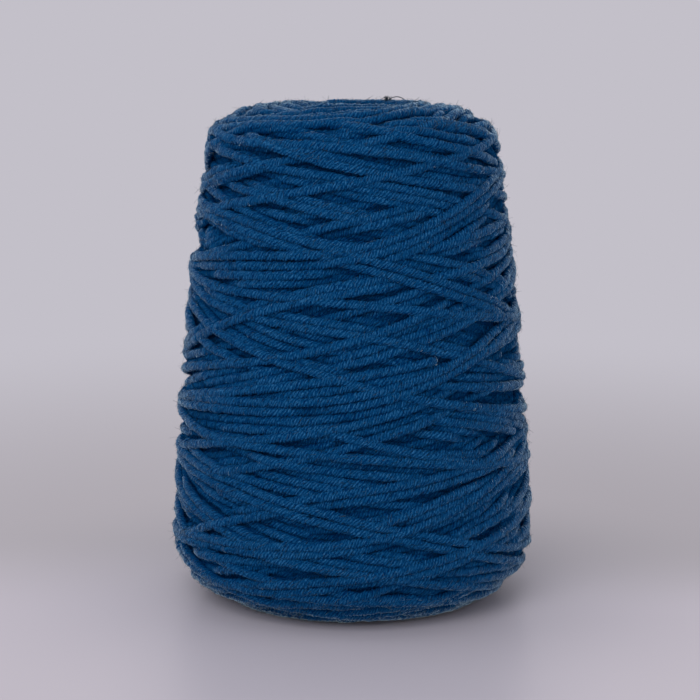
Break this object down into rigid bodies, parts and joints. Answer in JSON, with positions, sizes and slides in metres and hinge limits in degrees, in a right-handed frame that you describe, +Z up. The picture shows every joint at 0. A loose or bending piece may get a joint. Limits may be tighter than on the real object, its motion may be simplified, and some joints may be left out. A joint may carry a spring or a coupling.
{
  "type": "cone of yarn",
  "caption": "Tapered paper cone wound crosswise with thick plied yarn, with round shoulders, a dished top and an open bore for a spindle.",
  "frame": {"origin": "middle of the cone's base rim, on the surface that the package stands on", "axes": "+Z up along the axis of the cone, towards its nose; +X through the notch in the base rim; -Y towards the viewer"},
  "size_m": [0.1121, 0.1121, 0.1544],
  "materials": {
    "paper_cone": "matte",
    "yarn": "matte"
  },
  "bodies": {
    "root": {"paper_cone": "paper_cone", "yarn_core": "yarn", "yarn_winding": "yarn"}
  },
  "joints": []
}
